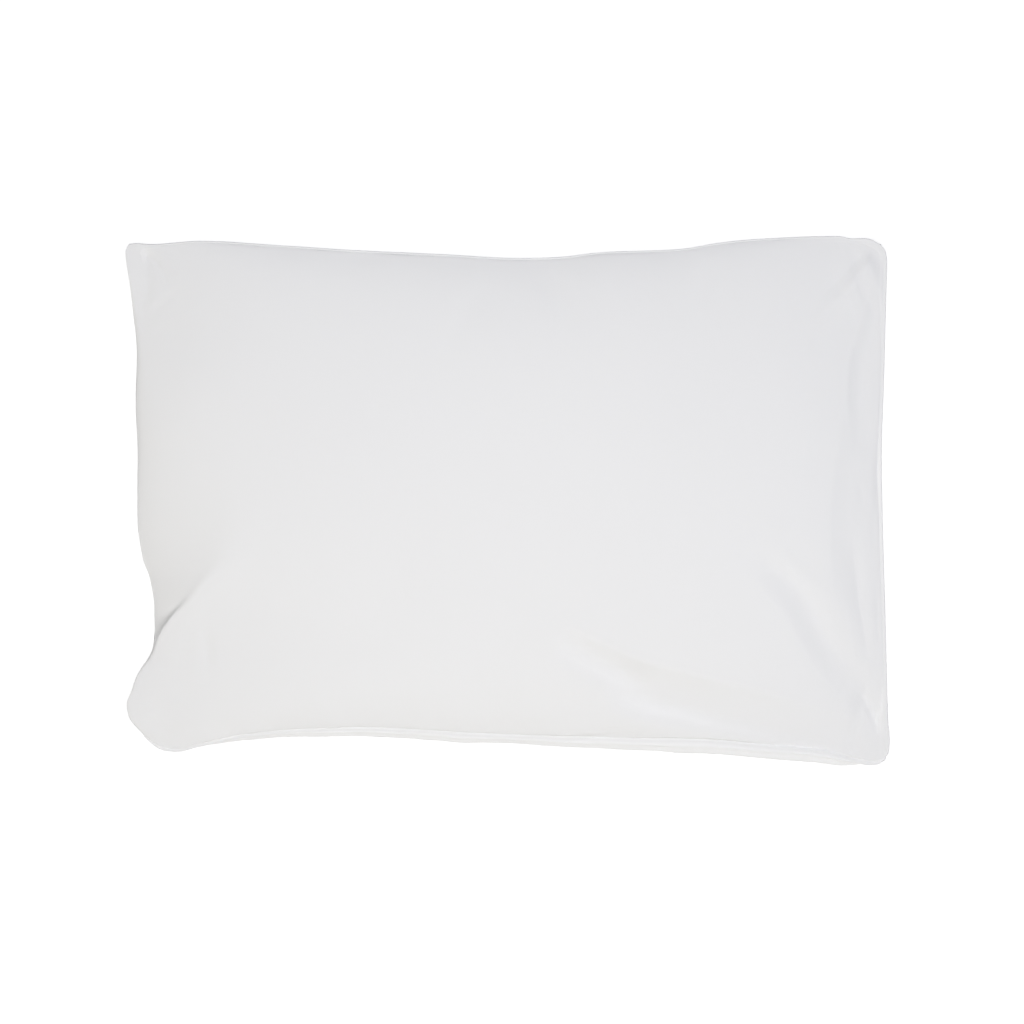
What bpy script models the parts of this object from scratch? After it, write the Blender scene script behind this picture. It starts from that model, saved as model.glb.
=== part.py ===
# A plain white pillowcase with its pillow inside, lying on its back.
#
# It is built as it is sewn: a front panel and a back panel, 750 x 500 mm flat,
# joined along the closed end and both long sides.  At the open end the front
# panel turns in over the end of the pillow, behind the hemmed edge of the back
# panel.  Filled and sewn up it is one soft body, so it is one closed solid: a
# crowned front, a back flattened where it rests, sides drawn in between four
# thin corners, a sewn lip all round, a mouth slit at the open end, and the main
# folds.
#
# Frame: metres in the scene, millimetres in the tables.  +Z up, the face of
# the case looks up, +X to the closed end, origin in the middle of its box on
# the surface that it rests on.
import math

import bmesh
import bpy
import numpy as np

# ---------------------------------------------------------------- main sizes
MM = 0.001
CROWN = 93.5  # highest point of the front above the sewn edge
BELLY = 86.0  # depth that the back would hang below that edge, before it is flattened
REST_BLEND = 9.0  # half-height over which the back rounds off onto the surface
EDGE_SOFTNESS = 0.85  # power of the front's cross profile: 0.5 is a round side, 1 a knife edge
BACK_SOFTNESS = 0.72
BACK_FULLNESS = 0.5  # how much fuller the back is across
CORNER_FLAT = 0.80  # how much of the fill is missing in the corners of the case
CORNER_REACH = (0.080, 0.17)  # as shares of the length and of the width
LIP = 1.5  # half-thickness of the sewn edge
BEAD = 0.4  # how far the sewn edge stands out
MOUTH_DEPTH = 5.0  # depth of the mouth slit at the open end
MOUTH_HEM = 1.6  # how far the back panel's hem stands out past the slit
MOUTH_ENDS = (0.07, 0.93)  # where the slit starts and stops, as shares of the end
CELLS_LONG = 52
CELLS_WIDE = 37

# ------------------------------- the sewn edge: a row where each side bends
# columns: x, y, z of the sewn line
LOWER_SIDE = (  # from the open end; the pillow has rolled this seam up on top
    (-343.5, -224.0, 21.0),
    (-336.0, -231.0, 21.0),
    (-324.0, -237.2, 22.0),
    (-312.0, -238.0, 24.5),
    (-291.0, -233.0, 31.0),
    (-243.0, -222.6, 43.0),
    (-187.0, -217.6, 54.0),
    (-140.0, -216.2, 60.0),
    (-95.0, -217.4, 63.0),
    (-35.0, -221.4, 65.0),
    (50.0, -224.4, 67.5),
    (125.0, -226.4, 68.0),
    (182.0, -227.2, 64.0),
    (239.0, -232.4, 56.0),
    (300.0, -239.0, 42.0),
    (331.0, -247.2, 34.0),
    (346.0, -250.6, 31.5),
    (353.8, -249.6, 30.0),
    (358.2, -246.0, 30.0),
)
UPPER_SIDE = (
    (-359.4, 240.6, 31.0),
    (-356.6, 243.2, 31.5),
    (-350.0, 243.8, 33.0),
    (-290.0, 245.4, 47.0),
    (-215.0, 241.0, 56.0),
    (-139.0, 236.0, 61.0),
    (-64.0, 232.4, 63.5),
    (14.0, 229.6, 65.0),
    (50.0, 230.4, 65.0),
    (88.0, 234.0, 64.0),
    (163.0, 238.0, 60.0),
    (201.0, 243.4, 56.0),
    (239.0, 247.2, 51.0),
    (314.0, 250.2, 38.0),
    (327.0, 248.2, 35.0),
    (339.0, 248.6, 33.0),
    (347.6, 247.0, 32.0),
    (354.4, 243.0, 31.0),
)
OPEN_END = (  # from the lower corner; drawn in above it, where the end is tucked
    (-343.5, -224.0, 21.0),
    (-351.5, -215.6, 24.0),
    (-357.8, -206.0, 27.5),
    (-360.0, -194.0, 31.0),
    (-354.8, -179.0, 34.5),
    (-350.6, -167.0, 36.0),
    (-345.6, -158.0, 36.5),
    (-339.2, -147.0, 36.0),
    (-335.6, -130.0, 35.0),
    (-334.2, -100.0, 36.0),
    (-338.6, -73.0, 37.5),
    (-345.4, -53.0, 38.5),
    (-348.8, -18.0, 40.0),
    (-348.6, 40.0, 41.0),
    (-351.0, 95.0, 41.0),
    (-350.0, 143.0, 39.5),
    (-353.6, 180.0, 36.5),
    (-357.4, 209.0, 36.5),
    (-360.6, 231.0, 33.0),
    (-360.8, 237.0, 32.0),
    (-359.4, 240.6, 31.0),
)
CLOSED_END = (
    (358.2, -246.0, 30.0),
    (361.6, -240.0, 31.5),
    (362.6, -229.0, 33.5),
    (361.0, -207.0, 36.5),
    (357.6, -120.0, 42.5),
    (354.8, -18.0, 46.0),
    (353.6, 40.0, 46.0),
    (356.0, 120.0, 41.5),
    (359.2, 190.0, 35.0),
    (360.4, 226.0, 31.0),
    (358.8, 237.2, 31.0),
    (354.4, 243.0, 31.0),
)

# -------------------------------------------- the fill, a row for each section
# columns: share of the length from the open end, share of the full crown,
#          fullness across (higher is fuller towards the sides)
SECTIONS = (
    (0.0000, 0.000, 2.10),
    (0.0015, 0.050, 2.10),
    (0.0060, 0.125, 2.10),
    (0.0170, 0.250, 2.10),
    (0.0290, 0.352, 2.10),
    (0.0450, 0.458, 2.10),
    (0.0850, 0.648, 2.10),
    (0.1400, 0.795, 2.10),
    (0.2200, 0.910, 2.05),
    (0.3300, 0.978, 2.00),
    (0.4600, 1.000, 2.00),
    (0.6200, 0.985, 2.00),
    (0.7400, 0.928, 2.05),
    (0.8200, 0.826, 2.10),
    (0.8700, 0.702, 2.10),
    (0.9150, 0.525, 2.10),
    (0.9550, 0.278, 2.10),
    (0.9820, 0.112, 2.05),
    (0.9920, 0.050, 2.00),
    (1.0000, 0.000, 2.00),
)

# ---------------------------------------- folds in the front, a row for each
# columns: name, drop over the fold, half-width of the side that drops, reach of
#          the side that comes back up (on the left of the way along the line),
#          where it bends most (-1 at the top of the drop, 0 nowhere), and the
#          line's points with the share of the drop at each; a negative drop is
#          a ridge
FOLDS = (
    ("lower_corner_fold", 8.5, 12.0, 18.0, 0, ((218, -48, 0.00), (250, -86, 0.90), (276, -124, 1.00), (306, -169, 0.55), (337, -203, 0.85), (352, -226, 0.35))),
    ("lower_end_fold", 3.6, 9.0, 12.0, 0, ((318, -27, 0.00), (322, -73, 1.00), (328, -118, 1.00), (335, -154, 0.00))),
    ("end_shoulder", 4.6, 9.0, 34.0, -1, ((325, 86, 0.00), (313, 15, 1.00), (313, -60, 0.90), (322, -112, 0.00))),
    ("upper_end_fold", 4.2, 8.0, 14.0, -1, ((352, 205, 0.00), (338, 157, 0.90), (326, 95, 0.90), (331, 39, 0.00))),
    ("upper_corner_fold", -7.0, 8.0, 18.0, 0, ((352, 241, 0.30), (330, 221, 1.00), (311, 198, 0.90), (280, 165, 0.00))),
    ("long_diagonal", 15.0, 17.0, 42.0, -1, ((344, -228, 0.20), (267, -207, 0.85), (182, -183, 1.00), (125, -167, 0.75), (99, -158, 0.00))),
    ("diagonal_start", 8.0, 10.0, 15.0, -1, ((144, -166, 0.00), (97, -146, 1.00), (50, -122, 0.00))),
    ("upper_pull", 2.6, 10.0, 15.0, 0, ((11, 226, 0.00), (28, 205, 1.00), (50, 171, 0.80), (55, 143, 0.00))),
)

# -------------------- the tuck above the lower corner, a row along its ridge
# The front panel folds over itself along a line from the corner up into the
# face.  The corner lies on top, and the end of the case falls steeply from that
# line to its outline, with a pocket under the line near the corner.
# columns: y, x, how far the wall is a straight one, depth of the pocket under
#          the ridge, height of the ridge, how softly it bends there, height of
#          the wall's foot
TUCK = (
    (-172.0, -353.0, 0.00, 0.0, 0.0, 4.0, 35.0),
    (-162.0, -348.0, 0.30, 0.0, 0.8, 4.0, 33.0),
    (-154.0, -342.0, 0.80, 1.0, 1.6, 4.0, 29.0),
    (-146.0, -335.0, 1.00, 5.0, 3.0, 4.0, 23.0),
    (-138.0, -330.0, 1.00, 9.0, 4.0, 4.0, 19.0),
    (-130.0, -326.6, 1.00, 11.0, 4.5, 4.0, 17.0),
    (-120.0, -320.8, 1.00, 11.0, 5.0, 4.0, 17.0),
    (-107.0, -311.0, 1.00, 7.0, 5.5, 4.0, 18.0),
    (-92.0, -298.0, 1.00, 2.0, 6.0, 4.0, 21.0),
    (-73.0, -283.0, 1.00, 0.3, 5.0, 5.0, 22.5),
    (-63.0, -273.0, 1.00, 0.0, 4.5, 6.0, 23.0),
    (-44.0, -261.0, 0.90, 0.0, 3.5, 8.0, 24.5),
    (-15.0, -250.0, 0.65, 0.0, 2.2, 9.0, 29.0),
    (20.0, -243.0, 0.35, 0.0, 0.8, 9.0, 34.0),
    (70.0, -240.0, 0.00, 0.0, 0.0, 9.0, 38.0),
)
POCKET_REACH, RIDGE_REACH = 16.0, 26.0
POCKET_EDGE = 7.0  # width of the step under the ridge
WALL_CURVE = 0.80  # 1 is a straight wall

# ------------ the back panel showing past the rolled seam, a row for each bend
# columns: x, how far it is pushed out below the seam
ROLL = (
    (-335.0, 0.0),
    (-253.0, 8.5),
    (-139.0, 10.0),
    (-35.0, 11.5),
    (2.0, 10.6),
    (50.0, 12.2),
    (135.0, 13.8),
    (170.0, 16.3),
    (225.0, 15.5),
    (290.0, 18.0),
    (322.0, 19.0),
    (344.0, 13.0),
    (358.0, 0.0),
)
ROLL_DROP = 26.0  # the roll has died out this far below the seam


# ------------------------------------------------------------------ functions
def between(along, rows, places):
    """Smooth values between the rows of a table, which never overshoot them."""
    along, rows = np.asarray(along, float), np.asarray(rows, float)
    single = rows.ndim == 1
    rows = rows.reshape(len(along), -1)
    gap = np.diff(along)[:, None]
    secant = np.diff(rows, axis=0) / gap
    slope = np.empty_like(rows)
    slope[0], slope[-1] = secant[0], secant[-1]
    w1, w2 = 2 * gap[1:] + gap[:-1], gap[1:] + 2 * gap[:-1]
    same = secant[:-1] * secant[1:] > 0
    before, after = (np.where(same, s, 1.0) for s in (secant[:-1], secant[1:]))
    slope[1:-1] = np.where(same, (w1 + w2) / (w1 / before + w2 / after), 0.0)
    places = np.clip(np.asarray(places, float).reshape(-1), along[0], along[-1])
    cell = np.clip(np.searchsorted(along, places, side="right") - 1, 0, len(gap) - 1)
    h = gap[cell]
    t = (places[:, None] - along[cell][:, None]) / h
    out = (
        (2 * t**3 - 3 * t**2 + 1) * rows[cell]
        + (t**3 - 2 * t**2 + t) * h * slope[cell]
        + (3 * t**2 - 2 * t**3) * rows[cell + 1]
        + (t**3 - t**2) * h * slope[cell + 1]
    )
    return out[:, 0] if single else out


def shares(line):
    """How far along a line of points each one lies, from 0 to 1."""
    step = np.linalg.norm(np.diff(line[:, :2], axis=0), axis=1)
    return np.concatenate([[0.0], np.cumsum(step)]) / step.sum()


def side_curve(table, places):
    table = np.array(table)
    return between(shares(table), table, places)


def spread(cells):
    """Places from 0 to 1, closer together towards both ends."""
    even = np.linspace(0.0, 1.0, cells + 1)
    return 0.45 * even + 0.55 * (1 - np.cos(math.pi * even)) / 2


def soft_step(t):
    t = np.clip(t, 0.0, 1.0)
    return t * t * (3 - 2 * t)


def on_line(points, line):
    """For each point: share of the way along a line, and signed distance from
    it, positive on its left side."""
    best = np.full(len(points), 1e9)
    share, side = np.zeros(len(points)), np.ones(len(points))
    lengths = np.linalg.norm(np.diff(line, axis=0), axis=1)
    travelled = np.concatenate([[0.0], np.cumsum(lengths)])
    for start, end, length, before in zip(line[:-1], line[1:], lengths, travelled):
        way = (end - start) / length
        along = np.clip((points - start) @ way, 0.0, length)
        off = points - (start + along[:, None] * way)
        distance = np.hypot(off[:, 0], off[:, 1])
        nearer = distance < best
        best[nearer] = distance[nearer]
        share[nearer] = ((before + along) / travelled[-1])[nearer]
        turn = way[0] * off[:, 1] - way[1] * off[:, 0]
        side[nearer] = np.where(turn >= 0, 1.0, -1.0)[nearer]
    return share, best * side


def sewn_places(U, V):
    """The panel between the four sewn sides, at the sewn edge's own height."""
    lower, upper = side_curve(LOWER_SIDE, U), side_curve(UPPER_SIDE, U)
    left, right = side_curve(OPEN_END, V), side_curve(CLOSED_END, V)
    u, v = U.reshape(-1, 1), V.reshape(-1, 1)
    corners = (
        (1 - u) * (1 - v) * np.array(LOWER_SIDE[0])
        + u * (1 - v) * np.array(LOWER_SIDE[-1])
        + (1 - u) * v * np.array(UPPER_SIDE[0])
        + u * v * np.array(UPPER_SIDE[-1])
    )
    place = (1 - v) * lower + v * upper + (1 - u) * left + u * right - corners
    # The height fades into the panel from the nearest side.
    near = [1 / np.maximum(d, 1e-4) ** 2 for d in (v, 1 - v, 1.5 * u, 1.5 * (1 - u))]
    height = sum(w * side[:, 2:] for w, side in zip(near, (lower, upper, left, right)))
    place[:, 2:] = height / sum(near)
    return place


def fill_shares(U, V, fuller=0.0, softness=EDGE_SOFTNESS):
    """Share of the full crown at each place, 0 on the sewn edge."""
    place, crown, fullness = np.array(SECTIONS).T
    u, v = U.reshape(-1), V.reshape(-1)
    across = np.abs(2 * v - 1)
    fullness = between(place, fullness, u) + fuller
    far_u, far_v = np.minimum(u, 1 - u) / CORNER_REACH[0], np.minimum(v, 1 - v) / CORNER_REACH[1]
    empty = CORNER_FLAT * np.exp(-(far_u**2) - far_v**2)
    return between(place, crown, u) * (1 - across**fullness) ** softness * (1 - empty)


def body_at(U, V):
    """The smooth front panel over the pillow, before its tuck and folds."""
    place, fill = sewn_places(U, V), fill_shares(U, V)
    place[:, 2] += LIP + CROWN * fill
    return place, fill


def tuck_line():
    """The ridge of the tuck as rows of y, x, the table's columns, the height of
    the smooth front there, and the x of the outline beside it."""
    table = np.array(TUCK)
    y = np.linspace(table[0, 0], table[-1, 0], 70)
    rows = between(table[:, 0], table[:, 1:], y)
    u, v = (g.reshape(-1) for g in np.meshgrid(
        np.linspace(0.0, 0.28, 281), np.linspace(0.06, 0.74, 461), indexing="ij"
    ))
    body = body_at(u, v)[0]
    height = np.empty(len(y))
    for k, (at_x, at_y) in enumerate(zip(rows[:, 0], y)):
        gap = (body[:, 0] - at_x) ** 2 + (body[:, 1] - at_y) ** 2
        near = np.argpartition(gap, 4)[:4]
        weight = 1 / (gap[near] + 0.02)
        height[k] = weight @ body[near, 2] / weight.sum()
    end = side_curve(OPEN_END, np.linspace(0, 1, 400))
    beside = np.interp(y, end[:, 1], end[:, 0])
    return np.column_stack([y, rows, height, beside])


def tuck_at(y, line):
    """The columns of the tuck at each y, and how far they count there."""
    at = [np.interp(y, line[:, 0], line[:, c]) for c in range(1, line.shape[1])]
    return at, soft_step((y - line[0, 0]) / 6.0) * soft_step((line[-1, 0] - y) / 20.0)


def tucked(place, line):
    """Heights of the front with its tuck: a straight wall on the end's side of
    the ridge, and a pocket under the ridge where the corner lies over it."""
    x, y, z = place.T
    (ridge_x, straight, pocket, ridge, soft, foot, height, out_x), inside = tuck_at(y, line)
    room = np.maximum(ridge_x - out_x, 1.0)
    total = np.zeros(len(x))
    for shift, weight in ((-1, 1), (-0.5, 2), (0, 3), (0.5, 2), (1, 1)):
        away = ridge_x - x + shift * soft
        share = np.clip(away / room, 0.0, 1.0)
        wall = foot + (height + ridge - foot) * (1 - share) ** WALL_CURVE
        left = straight * (wall - z) + (1 - straight) * ridge * np.exp(-((away / 9.0) ** 2))
        right = ridge * np.exp(-((away / RIDGE_REACH) ** 2))
        total += np.where(away > 0, left, right) * weight / 9
    away = ridge_x - x
    pressed = pocket * soft_step(away / POCKET_EDGE)
    pressed *= np.exp(-((np.maximum(away, 0.0) / POCKET_REACH) ** 2))
    pressed *= 1 - np.clip(away / room, 0.0, 1.0) ** 2
    return z + inside * (total - pressed)


def tucked_back(place, U, line):
    """Share of the back's height that is left beside the foot of that wall."""
    at, inside = tuck_at(place[:, 1], line)
    seam = np.maximum(place[:, 2], 1.0)
    gone = inside * at[1] * np.clip(1 - at[5] / seam, 0.0, 1.0)
    return 1 - gone * np.exp(-((U.reshape(-1) / 0.05) ** 2))


def fold_heights(points):
    """Height that the folds add to the front at each point."""
    total = np.zeros(len(points))
    for _, drop, half, reach, bend, line in FOLDS:
        line = side_curve(line, np.linspace(0, 1, 33))
        share, away = on_line(points, line[:, :2])
        strength = np.interp(share, shares(line), line[:, 2])
        t = np.clip((away + half) / (2 * half), 0.0, 1.0)
        down = (1 - (1 - t) ** 1.7, soft_step(t))[bend + 1]
        back = np.exp(-((np.maximum(away - half, 0.0) / reach) ** 2))
        total -= drop * strength * down * back
    return total


def roll_reach(x):
    place, reach = np.array(ROLL).T
    return np.where((x > place[0]) & (x < place[-1]), between(place, reach, x), 0.0)


def rest_on_surface(z):
    """Flattens what would hang below the surface, with a rounded start."""
    k = REST_BLEND
    return np.where(z >= k, z, np.where(z <= -k, 0.0, (z + k) ** 2 / (4 * k)))


def panels():
    """The front and the back panel as two grids of points, mm."""
    u, v = spread(CELLS_LONG), spread(CELLS_WIDE)
    U, V = np.repeat(u, len(v)), np.tile(v, len(u))
    line = tuck_line()

    front, fill = body_at(U, V)
    folds = fold_heights(front[:, :2]) * soft_step(CROWN * fill / 4.0)
    front[:, 2] = tucked(front, line) + folds

    seam, fill = sewn_places(U, V), fill_shares(U, V, BACK_FULLNESS, BACK_SOFTNESS)
    back = seam.copy()
    back[:, 2] = rest_on_surface(seam[:, 2] - LIP - BELLY * fill**0.88)
    back[:, 2] *= tucked_back(seam, U, line)
    below = np.clip((seam[:, 2] - back[:, 2]) / ROLL_DROP, 0.0, 1.0)
    back[:, 1] -= roll_reach(seam[:, 0]) * np.sin(math.pi * below) * (V < 0.5)
    front[:, 2] = np.maximum(front[:, 2], back[:, 2] + 2 * LIP)
    return front.reshape(len(u), len(v), 3), back.reshape(len(u), len(v), 3), v


def outline(nu, nv):
    """The grid's outer places, anticlockwise from above."""
    order = [(i, 0) for i in range(nu - 1)]
    order += [(nu - 1, j) for j in range(nv - 1)]
    order += [(i, nv - 1) for i in range(nu - 1, 0, -1)]
    order += [(0, j) for j in range(nv - 1, 0, -1)]
    return order


def build():
    front, back, v = panels()
    nu, nv = front.shape[:2]
    order = outline(nu, nv)
    middle = np.array([(front[i, j] + back[i, j]) / 2 for i, j in order])
    way = (np.roll(middle, -1, axis=0) - np.roll(middle, 1, axis=0))[:, :2]
    way /= np.linalg.norm(way, axis=1)[:, None]
    out = np.column_stack([way[:, 1], -way[:, 0]])

    first, last = MOUTH_ENDS
    opening = soft_step((v - first) / 0.03) * soft_step((last - v) / 0.03)
    slit = np.array([opening[j] if i == 0 else 0.0 for i, j in order])

    # From the front panel down to the back panel.  The slit is between the
    # first two rings, and the hem's edge is the last two.
    # columns: height on a seam, height at the mouth, reach on a seam, at the mouth
    lip_rings = (
        (0.50, 0.50, BEAD, -MOUTH_DEPTH),
        (-0.25, -0.50, BEAD, -MOUTH_DEPTH),
        (-0.50, -0.62, BEAD, MOUTH_HEM),
        (-0.85, -1.90, 0.55 * BEAD, MOUTH_HEM),
    )
    rings = []
    for seam_height, mouth_height, seam_reach, mouth_reach in lip_rings:
        ring = middle.copy()
        reach = seam_reach * (1 - slit) + mouth_reach * slit
        ring[:, :2] += out * reach[:, None]
        ring[:, 2] += LIP * (seam_height * (1 - slit) + mouth_height * slit)
        rings.append(ring)
    for n, (i, j) in enumerate(order):
        back[i, j, :2] += out[n] * 0.5 * MOUTH_HEM * slit[n]
        back[i, j, 2] -= 1.4 * LIP * slit[n]

    everything = np.concatenate([front.reshape(-1, 3), back.reshape(-1, 3)] + rings)
    low, high = everything.min(axis=0), everything.max(axis=0)
    shift = -np.array([(low[0] + high[0]) / 2, (low[1] + high[1]) / 2, low[2]])

    bm = bmesh.new()

    def corner(point):
        return bm.verts.new([float(c) for c in (point + shift) * MM])

    top = [[corner(front[i, j]) for j in range(nv)] for i in range(nu)]
    under = [[corner(back[i, j]) for j in range(nv)] for i in range(nu)]
    for i in range(nu - 1):
        for j in range(nv - 1):
            cell = ((i, j), (i + 1, j), (i + 1, j + 1), (i, j + 1))
            bm.faces.new([top[a][b] for a, b in cell])
            bm.faces.new([under[a][b] for a, b in reversed(cell)])
    loops = [[top[i][j] for i, j in order]]
    loops += [[corner(point) for point in ring] for ring in rings]
    loops += [[under[i][j] for i, j in order]]
    for upper, lower in zip(loops[:-1], loops[1:]):
        for n in range(len(order)):
            m = (n + 1) % len(order)
            bm.faces.new((upper[n], lower[n], lower[m], upper[m]))
    bmesh.ops.triangulate(bm, faces=bm.faces[:], quad_method="SHORT_EDGE")
    mesh = bpy.data.meshes.new("filled_case")
    bm.to_mesh(mesh)
    bm.free()
    mesh.shade_smooth()
    case = bpy.data.objects.new("filled_case", mesh)
    bpy.context.scene.collection.objects.link(case)
    return case


def cotton():
    material = bpy.data.materials.new("white_cotton")
    material.use_nodes = True
    surface = material.node_tree.nodes["Principled BSDF"]
    surface.inputs["Base Color"].default_value = (0.82, 0.82, 0.83, 1.0)
    surface.inputs["Roughness"].default_value = 0.88
    surface.inputs["Metallic"].default_value = 0.0
    return material


for old in list(bpy.data.objects):
    bpy.data.objects.remove(old, do_unlink=True)
case = build()
case.data.materials.append(cotton())
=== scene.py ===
# The looks of a plain white cotton pillowcase with its pillow inside.
#
# The two panels start on the shape that they have around the pillow, are
# settled as cloth against the lengths that they were cut to, and then get
# their creases, sewn edge, mouth and hem.  Tables are in millimetres, in the
# frame of the part: the face looks up, +X is the closed end.
import math

import bpy
import numpy as np
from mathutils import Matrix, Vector


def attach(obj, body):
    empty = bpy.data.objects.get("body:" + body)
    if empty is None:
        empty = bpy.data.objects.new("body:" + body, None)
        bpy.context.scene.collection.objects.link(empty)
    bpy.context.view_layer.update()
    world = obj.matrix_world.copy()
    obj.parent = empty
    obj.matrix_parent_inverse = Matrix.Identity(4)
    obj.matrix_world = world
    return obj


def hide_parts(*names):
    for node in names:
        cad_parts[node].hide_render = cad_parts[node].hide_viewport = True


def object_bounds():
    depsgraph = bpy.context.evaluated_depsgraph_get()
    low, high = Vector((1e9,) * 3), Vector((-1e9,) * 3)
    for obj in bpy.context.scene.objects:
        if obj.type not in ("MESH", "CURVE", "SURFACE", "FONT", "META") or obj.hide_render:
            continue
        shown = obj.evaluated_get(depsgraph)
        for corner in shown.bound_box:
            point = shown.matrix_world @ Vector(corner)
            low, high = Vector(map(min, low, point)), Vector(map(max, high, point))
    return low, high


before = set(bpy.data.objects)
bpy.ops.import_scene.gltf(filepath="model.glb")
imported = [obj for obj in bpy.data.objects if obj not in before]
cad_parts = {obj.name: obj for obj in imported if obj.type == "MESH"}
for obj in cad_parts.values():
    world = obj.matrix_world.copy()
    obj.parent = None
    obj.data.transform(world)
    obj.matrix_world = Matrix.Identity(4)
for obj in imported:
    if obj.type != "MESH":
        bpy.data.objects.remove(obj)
CAD_BOX = [list(corner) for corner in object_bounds()]

# ---------------------------------------------------------------- main sizes
MM = 0.001
FLAT_LENGTH, FLAT_WIDTH = 750.0, 500.0
CELL = 5.0  # spacing of the cloth while it settles
CROWN, BELLY = 95.0, 86.0
EDGE_SOFTNESS, BACK_SOFTNESS = 0.85, 0.72  # how far the cross profile is from a round one
BACK_FULLNESS = 0.5  # how much fuller the back is across
CORNER_FLAT = 0.80  # how much of the fill is missing in the corners of the case
CORNER_REACH = (0.080, 0.17)  # as shares of the length and of the width
REST_BLEND = 9.0
ROLL_DROP = 26.0
SETTLE_FRAMES = 20
SETTLE_CAP = 6.0  # furthest that a point may settle from where it starts

# ------------------------------- the sewn edge: a row where each side bends
# columns: x, y, z
LOWER_SIDE = (
    (-343.5, -224.0, 21.0),
    (-336.0, -231.0, 21.0),
    (-324.0, -237.2, 22.0),
    (-312.0, -238.0, 24.5),
    (-291.0, -233.0, 31.0),
    (-243.0, -222.6, 43.0),
    (-187.0, -217.6, 54.0),
    (-140.0, -216.2, 60.0),
    (-95.0, -217.4, 63.0),
    (-35.0, -221.4, 65.0),
    (50.0, -224.4, 67.5),
    (125.0, -226.4, 68.0),
    (182.0, -227.2, 64.0),
    (239.0, -232.4, 56.0),
    (300.0, -239.0, 42.0),
    (331.0, -247.2, 34.0),
    (346.0, -250.6, 31.5),
    (353.8, -249.6, 30.0),
    (358.2, -246.0, 30.0),
)
UPPER_SIDE = (
    (-359.4, 240.6, 31.0),
    (-356.6, 243.2, 31.5),
    (-350.0, 243.6, 33.0),
    (-337.0, 242.6, 36.0),
    (-290.0, 245.4, 47.0),
    (-215.0, 241.0, 56.0),
    (-139.0, 236.0, 61.0),
    (-64.0, 232.4, 63.5),
    (14.0, 228.6, 65.0),
    (50.0, 229.6, 65.0),
    (88.0, 234.0, 64.0),
    (163.0, 237.2, 60.0),
    (201.0, 243.4, 56.0),
    (239.0, 247.2, 51.0),
    (314.0, 250.2, 38.0),
    (327.0, 248.2, 35.0),
    (339.0, 248.6, 33.0),
    (347.6, 247.0, 32.0),
    (354.4, 243.0, 31.0),
)
OPEN_END = (
    (-343.5, -224.0, 21.0),
    (-351.5, -215.6, 24.0),
    (-357.8, -206.0, 27.5),
    (-360.0, -194.0, 31.0),
    (-354.8, -179.0, 34.5),
    (-350.6, -167.0, 36.0),
    (-345.6, -158.0, 36.5),
    (-339.2, -147.0, 36.0),
    (-335.6, -130.0, 35.0),
    (-334.2, -100.0, 36.0),
    (-338.6, -73.0, 37.5),
    (-345.4, -53.0, 38.5),
    (-348.8, -18.0, 40.0),
    (-348.6, 40.0, 41.0),
    (-351.0, 95.0, 41.0),
    (-350.0, 143.0, 39.5),
    (-353.6, 180.0, 36.5),
    (-357.4, 209.0, 36.5),
    (-360.6, 231.0, 33.0),
    (-360.8, 237.0, 32.0),
    (-359.4, 240.6, 31.0),
)
CLOSED_END = (
    (358.2, -246.0, 30.0),
    (361.6, -240.0, 31.5),
    (362.6, -229.0, 33.5),
    (361.0, -207.0, 36.5),
    (358.4, -120.0, 42.5),
    (355.4, -18.0, 46.0),
    (354.4, 40.0, 46.0),
    (357.0, 120.0, 41.5),
    (359.2, 190.0, 35.0),
    (360.4, 226.0, 31.0),
    (358.8, 237.2, 31.0),
    (354.4, 243.0, 31.0),
)

# -------------------------------------------- the fill, a row for each section
# columns: share of the length from the open end, share of the full crown,
#          fullness across
SECTIONS = (
    (0.0000, 0.000, 2.10),
    (0.0015, 0.070, 2.10),
    (0.0060, 0.155, 2.10),
    (0.0170, 0.272, 2.10),
    (0.0290, 0.366, 2.10),
    (0.0450, 0.464, 2.10),
    (0.0850, 0.648, 2.10),
    (0.1400, 0.795, 2.10),
    (0.2200, 0.910, 2.05),
    (0.3300, 0.978, 2.00),
    (0.4600, 1.000, 2.00),
    (0.6200, 0.985, 2.00),
    (0.7400, 0.928, 2.05),
    (0.8200, 0.826, 2.10),
    (0.8700, 0.702, 2.10),
    (0.9150, 0.525, 2.10),
    (0.9550, 0.278, 2.10),
    (0.9820, 0.112, 2.05),
    (0.9920, 0.050, 2.00),
    (1.0000, 0.000, 2.00),
)

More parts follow.
